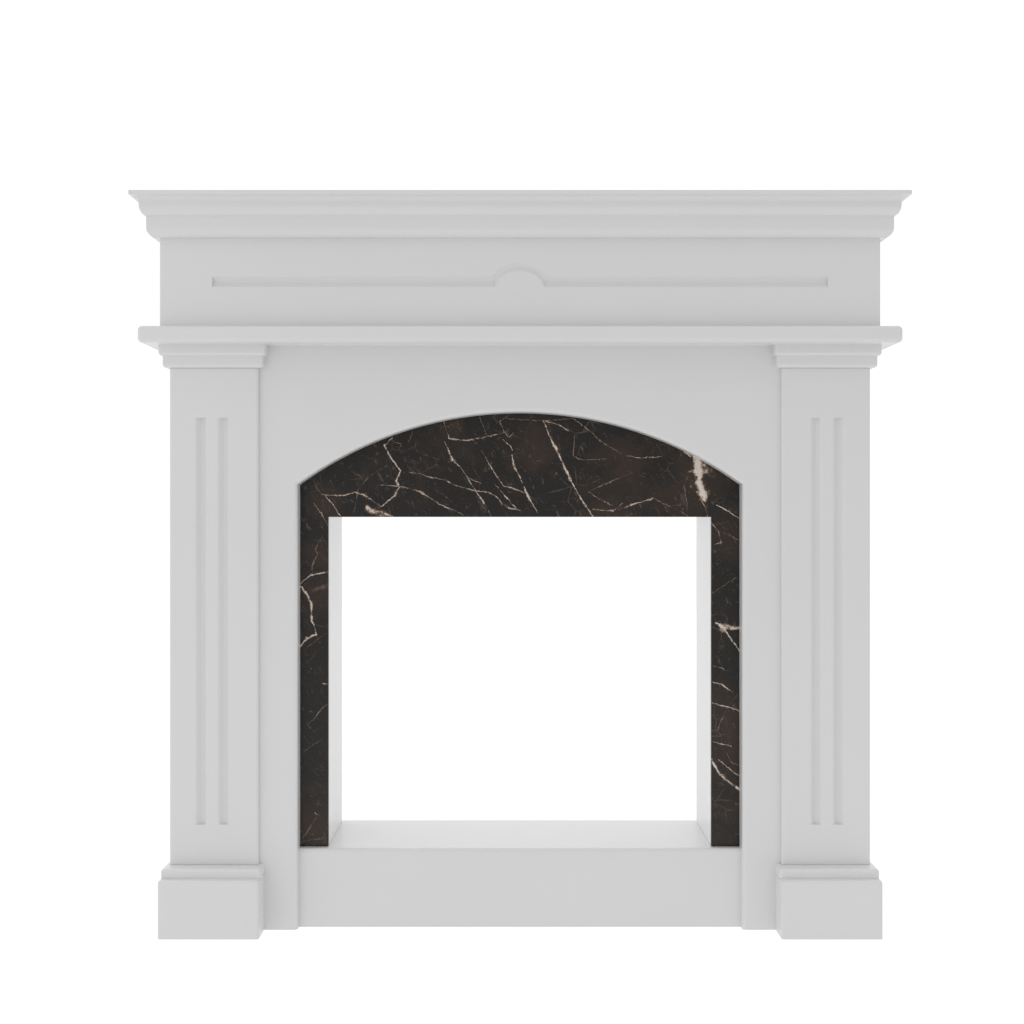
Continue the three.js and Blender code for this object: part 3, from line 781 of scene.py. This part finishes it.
def grooveTree(halfWidth):
    # Two straight channels that stop against a hump bent round a flattened half disc
    labels = ("Groove half width", "Groove rounding", "Groove height", "Groove end margin", "Hump half width",
              "Hump reach", "Hump rise", "Hump start", "Hump overlap")
    sizes = {label: friezeLook[label] for label in labels}
    sizes["Half width"] = halfWidth
    make = NodeMaker("groove", sizes)
    given = make.given
    outerEnd = make.maths("SUBTRACT", given["Half width"], given["Groove end margin"])
    innerEnd = make.maths("SUBTRACT", given["Hump reach"], given["Hump overlap"])
    section, stand = make.grooveSection(given["Groove half width"], given["Groove rounding"])
    cutters = []
    for turn in (-1.0, 1.0):
        start = make.vector(make.maths("MULTIPLY", innerEnd, turn), stand, given["Groove height"])
        end = make.vector(make.maths("MULTIPLY", outerEnd, turn), stand, given["Groove height"])
        path = make.add("GeometryNodeCurvePrimitiveLine", Start=start, End=end)
        cutters.append(make.add("GeometryNodeCurveToMesh", Curve=path, Profile_Curve=section, Fill_Caps=True))
    sweep = make.maths("SUBTRACT", math.pi, make.maths("MULTIPLY", given["Hump start"], 2.0))
    path = make.add("GeometryNodeCurveArc", Resolution=grooveLook["humpSteps"], Radius=given["Hump reach"],
                    Start_Angle=given["Hump start"], Sweep_Angle=sweep)
    squash = make.maths("DIVIDE", given["Hump rise"], given["Hump reach"])
    path = make.add("GeometryNodeTransform", Geometry=path, Scale=make.vector(1.0, squash, 1.0))
    humpSection, humpStand = make.grooveSection(given["Hump half width"], given["Groove rounding"])
    hump = make.add("GeometryNodeCurveToMesh", Curve=path, Profile_Curve=humpSection, Fill_Caps=True)
    drop = make.maths("SUBTRACT", given["Groove height"], given["Groove half width"])
    place = make.vector(0.0, humpStand, drop)
    cutters.append(make.add("GeometryNodeTransform", Geometry=hump, Translation=place,
                            Rotation=(math.radians(90), 0, 0)))
    make.finish(make.cut(given["Geometry"], *cutters), paint)
    return make


def makeFrieze():
    low, high = corners("frieze_front")
    half = high.x
    outline = [(-half, high.y - low.y)] + frontCorners(-half, half, 0, friezeLook["corner"], 0)
    outline += [(half, high.y - low.y)]
    heights = (-seam, high.z - low.z + seam)
    blank = skinRings("frieze_front", [[(x, y, z) for x, y in outline] for z in heights])
    grooved = grooveTree(half).run(blank)
    grooved.transform(Matrix.Translation((0, low.y, low.z)))
    softenRims(addPiece("frieze_front_painted", grooved, paint, "frieze_front"), friezeLook["rim"])


makeFrieze()

print("scene: cornice")

corniceLook = {
    "fillet": 6.5 * mm,
    "filletStep": 2.8 * mm,
    "soffit": 6.9 * mm,
    "lowerRound": (8.8 * mm, 13.0 * mm),  # width and height
    "flat": 17.6 * mm,
    "ovolo": (8.9 * mm, 16.3 * mm),
    "hollowRise": 2.0 * mm,
    "backing": 18.0 * mm,
    "ledge": 9.0 * mm,
    "edge": 0.8 * mm,
    "edgeLimit": 40,  # degrees that an edge turns by before it is softened
}


def corniceSection(height, projection):
    look = corniceLook
    roundWide, roundTall = look["lowerRound"]
    ovoloWide, ovoloTall = look["ovolo"]
    flatFace = look["soffit"] + roundWide
    flatTop = roundTall + look["flat"]
    hollowInner = flatFace + ovoloWide
    hollowFoot = flatTop + ovoloTall + look["hollowRise"]
    hollowTop = height - look["fillet"]
    hollowWide = projection - look["filletStep"] - hollowInner
    radius = (roundWide ** 2 + roundTall ** 2) / (2 * roundWide)
    spread = math.degrees(math.asin(roundTall / radius))
    turns = arc(0, 0, 1, 0, 90, edgeSteps)
    ledgeTop = height - look["backing"] - softCorner
    points = [(-look["backing"], 0)]
    points += arc(flatFace - radius, roundTall, radius, -spread, 0, edgeSteps)
    points += [(flatFace + ovoloWide * y, flatTop + ovoloTall * (1 - x)) for x, y in turns]
    hollowTall = hollowTop - hollowFoot
    points += [(hollowInner + hollowWide * (1 - x), hollowFoot + hollowTall * y) for x, y in turns]
    ledgeSide = look["ledge"] - look["backing"]
    points += [(projection, hollowTop), (projection, height), (ledgeSide, height)]
    points += [(ledgeSide, ledgeTop), (-look["backing"], ledgeTop)]
    return points


def mitredRunTree(frontLength, returnLength):
    # A section, drawn with X outwards, is run along the front and back down both sides, mitred at the corners
    make = NodeMaker("mitred run", {"Front length": frontLength, "Return length": returnLength})
    given = make.given

    def stretch(length, startMitre, endMitre, dropEnd):
        run = make.tree.nodes.new("GeometryNodeExtrudeMesh")
        run.mode = "FACES"
        plug(make.tree, given["Geometry"], run.inputs["Mesh"])
        plug(make.tree, make.vector(y=length), run.inputs["Offset"])
        plug(make.tree, 1.0, run.inputs["Offset Scale"])
        plug(make.tree, False, run.inputs["Individual"])
        place = make.tree.nodes.new("ShaderNodeSeparateXYZ")
        plug(make.tree, make.add("GeometryNodeInputPosition"), place.inputs[0])
        share = make.maths("DIVIDE", place.outputs["Y"], length)
        far = make.maths("MULTIPLY", share, endMitre)
        near = make.maths("MULTIPLY", make.maths("SUBTRACT", 1.0, share), startMitre)
        slide = make.maths("MULTIPLY", place.outputs["X"], make.maths("SUBTRACT", far, near))
        mesh = run.outputs["Mesh"]
        if dropEnd:
            mesh = make.add("GeometryNodeDeleteGeometry", {"domain": "FACE", "mode": "ONLY_FACE"},
                            Geometry=mesh, Selection=run.outputs["Top"])
        return make.add("GeometryNodeSetPosition", Geometry=mesh, Offset=make.vector(y=slide))

    front = stretch(given["Front length"], 1.0, 1.0, True)
    half = make.maths("MULTIPLY", given["Front length"], 0.5)
    front = make.add("GeometryNodeTransform", Geometry=front, Translation=make.vector(x=make.maths(
        "MULTIPLY", half, -1.0)), Rotation=(0, 0, math.radians(-90)))
    side = stretch(given["Return length"], 1.0, 0.0, False)
    right = make.add("GeometryNodeTransform", Geometry=side, Translation=make.vector(x=half))
    left = make.add("GeometryNodeTransform", Geometry=right, Scale=(-1, 1, 1))
    joined = make.join(front, right, left)
    merged = make.add("GeometryNodeMergeByDistance", Geometry=joined, Distance=weldGap)
    make.finish(merged, paint)
    return make


def makeCornice():
    low, high = corners("cornice_front")
    friezeLow, friezeHigh = corners("frieze_front")
    section = corniceSection(high.z - low.z, friezeLow.y - low.y)
    build = bmesh.new()
    build.faces.new([build.verts.new((x, 0, z)) for x, z in section])
    face = bpy.data.meshes.new("cornice")
    build.to_mesh(face)
    build.free()
    wall = corners("cornice_return_right")[1].y
    run = mitredRunTree(friezeHigh.x * 2, wall - friezeLow.y).run(face)
    run.transform(Matrix.Translation((0, friezeLow.y, low.z)))
    piece = addPiece("cornice_painted", run, paint,
                     "cornice_front", "cornice_return_left", "cornice_return_right")
    softenRims(piece, corniceLook["edge"], corniceLook["edgeLimit"])


makeCornice()

print("scene: arched panel")

panelLook = {
    "archHalfWidth": 336.6 * mm,
    "springing": 673.8 * mm,
    "rise": 109.4 * mm,
    "edge": 6.0 * mm,
    "archSteps": 96,
}


def makePanel():
    # Rings of one outline, open to the floor between the legs, run from the front face to the back
    look = panelLook
    radius = (look["archHalfWidth"] ** 2 + look["rise"] ** 2) / (2 * look["rise"])
    centre = look["springing"] + look["rise"] - radius
    depth = panelHigh.y - panelLow.y

    def ring(offset, back):
        half = look["archHalfWidth"] + offset
        spread = math.degrees(math.asin(half / (radius + offset)))
        top = panelHigh.z + seam
        outline = [(panelHigh.x, 0), (panelHigh.x, top), (panelLow.x, top), (panelLow.x, 0), (-half, 0)]
        outline += arc(0, centre, radius + offset, 90 + spread, 90 - spread, look["archSteps"])
        outline += [(half, 0)]
        return [(x, panelFront + back, z) for x, z in outline]

    quarter = arc(look["edge"], look["edge"], look["edge"], 270, 180, edgeSteps)
    rings = [ring(offset, back) for offset, back in quarter] + [ring(0, depth)]
    addPiece("front_panel_painted", skinRings("front_panel", rings), paint, "front_panel")


makePanel()

print("scene: hearth")

hearthLook = {"edge": 5.5 * mm, "board": 18.0 * mm}


def makeHearth():
    # Front board and deck in one folded section, with a rounded front edge
    low = corners("hearth_front")[0]
    deckLow, deckHigh = corners("hearth_deck")
    edge = hearthLook["edge"]
    board = hearthLook["board"]
    section = [(low.y, 0)]
    section += [(y, z) for y, z in reversed(arc(low.y + edge, deckHigh.z - edge, edge, 90, 180, edgeSteps))]
    deckFoot = deckHigh.z - board
    inner = low.y + board
    section += [(deckHigh.y, deckHigh.z), (deckHigh.y, deckFoot), (inner, deckFoot), (inner, 0)]
    rings = [[(x, y, z) for y, z in section] for x in (deckLow.x - seam, deckHigh.x + seam)]
    addPiece("hearth_painted", skinRings("hearth", rings), paint, "hearth_front", "hearth_deck")


makeHearth()

print("scene: plain boards and marble")

plainLook = {"edge": 0.7 * mm, "marbleEdge": 0.5 * mm, "segments": 2, "limit": 40}


def dressNode(node, material, edge):
    # A board that is already right keeps its mesh and gets eased edges and its finish
    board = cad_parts[node]
    board.data.materials.clear()
    board.data.materials.append(material)
    weld = board.modifiers.new("close seams", "WELD")
    weld.merge_threshold = weldGap
    ease = board.modifiers.new("eased edges", "BEVEL")
    ease.width = edge
    ease.segments = plainLook["segments"]
    ease.limit_method = "ANGLE"
    ease.angle_limit = math.radians(plainLook["limit"])


dressNode("top_board", paint, plainLook["edge"])
# The header and cheeks take the paler lining paint, which is painted light
dressNode("firebox_header", liningPaintWithPaintedLight, plainLook["edge"])
for side in ("left", "right"):
    dressNode(f"firebox_cheek_{side}", liningPaintWithPaintedLight, plainLook["edge"])
    for kind in ("side_board", "frieze_end", "hearth_end"):
        dressNode(f"{kind}_{side}", paint, plainLook["edge"])
dressNode("marble_surround", marble, plainLook["marbleEdge"])

print("scene: floor and light")

studio = {
    "floorSize": 14.0,
    "floorColour": (0.15, 0.15, 0.15, 1),
    "floorRoughness": 0.9,
    "floorGlow": 0.76,  # light that the floor gives the object
    "floorSeen": 1.0,  # and what it shows the camera
    "front": 0.465,  # brightness of the room at eye level ahead of the mantelpiece
    "back": 0.90,  # and behind it
    "above": 0.38,  # added overhead
    "leftExtra": 0.10,
    "backdrop": 1.05,
    "panelPower": 2.5,  # soft light ahead on the left
    "panelSize": 1.4,
    "panelPlace": (-1.5, -2.1, 1.1),
    "panelAim": (0.0, 0.0, 0.6),
}


def makeFloor():
    half = studio["floorSize"] / 2
    mesh = bpy.data.meshes.new("floor")
    points = [(-half, -half, 0), (half, -half, 0), (half, half, 0), (-half, half, 0)]
    mesh.from_pydata(points, [], [(0, 1, 2, 3)])
    material, tree, shader, place = newMaterial("pale floor")
    shader.inputs["Base Color"].default_value = studio["floorColour"]
    shader.inputs["Roughness"].default_value = studio["floorRoughness"]
    shader.inputs["Specular IOR Level"].default_value = 0.0
    shader.inputs["Emission Color"].default_value = (1, 1, 1, 1)
    seen = tree.nodes.new("ShaderNodeLightPath").outputs["Is Camera Ray"]
    glow = remap(tree, seen, 0, 1, studio["floorGlow"], studio["floorSeen"], smooth=False)
    tree.links.new(glow, shader.inputs["Emission Strength"])
    mesh.materials.append(material)
    floor = bpy.data.objects.new("floor", mesh)
    bpy.context.scene.collection.objects.link(floor)


def makeRoomLight():
    # A white room that is dimmer ahead of the object than behind it, and a little brighter on the left
    world = bpy.data.worlds.new("room")
    world.use_nodes = True
    bpy.context.scene.world = world
    tree = world.node_tree
    glow = tree.nodes["Background"]
    direction = tree.nodes.new("ShaderNodeTexCoord").outputs["Generated"]
    parts = tree.nodes.new("ShaderNodeSeparateXYZ")
    tree.links.new(direction, parts.inputs[0])
    depth = remap(tree, parts.outputs["Y"], -1, 1, studio["front"], studio["back"], smooth=False)
    left = remap(tree, parts.outputs["X"], -1, 1, studio["leftExtra"], -studio["leftExtra"], smooth=False)
    strength = sums(tree, "MULTIPLY_ADD", parts.outputs["Z"], studio["above"], sums(tree, "ADD", depth, left))
    seen = tree.nodes.new("ShaderNodeLightPath").outputs["Is Camera Ray"]
    mix = tree.nodes.new("ShaderNodeMix")
    plug(tree, seen, mix.inputs["Factor"])
    plug(tree, strength, mix.inputs["A"])
    plug(tree, studio["backdrop"], mix.inputs["B"])
    tree.links.new(mix.outputs["Result"], glow.inputs["Strength"])
    glow.inputs["Color"].default_value = (1, 1, 1, 1)


def makeSoftPanel():
    data = bpy.data.lights.new("soft panel", "AREA")
    data.energy = studio["panelPower"]
    data.size = studio["panelSize"]
    panel = bpy.data.objects.new("soft panel", data)
    panel.location = studio["panelPlace"]
    away = Vector(studio["panelAim"]) - Vector(studio["panelPlace"])
    panel.rotation_euler = away.to_track_quat("-Z", "Y").to_euler()
    bpy.context.scene.collection.objects.link(panel)


makeFloor()
makeRoomLight()
makeSoftPanel()
bpy.context.scene.view_settings.view_transform = "Standard"
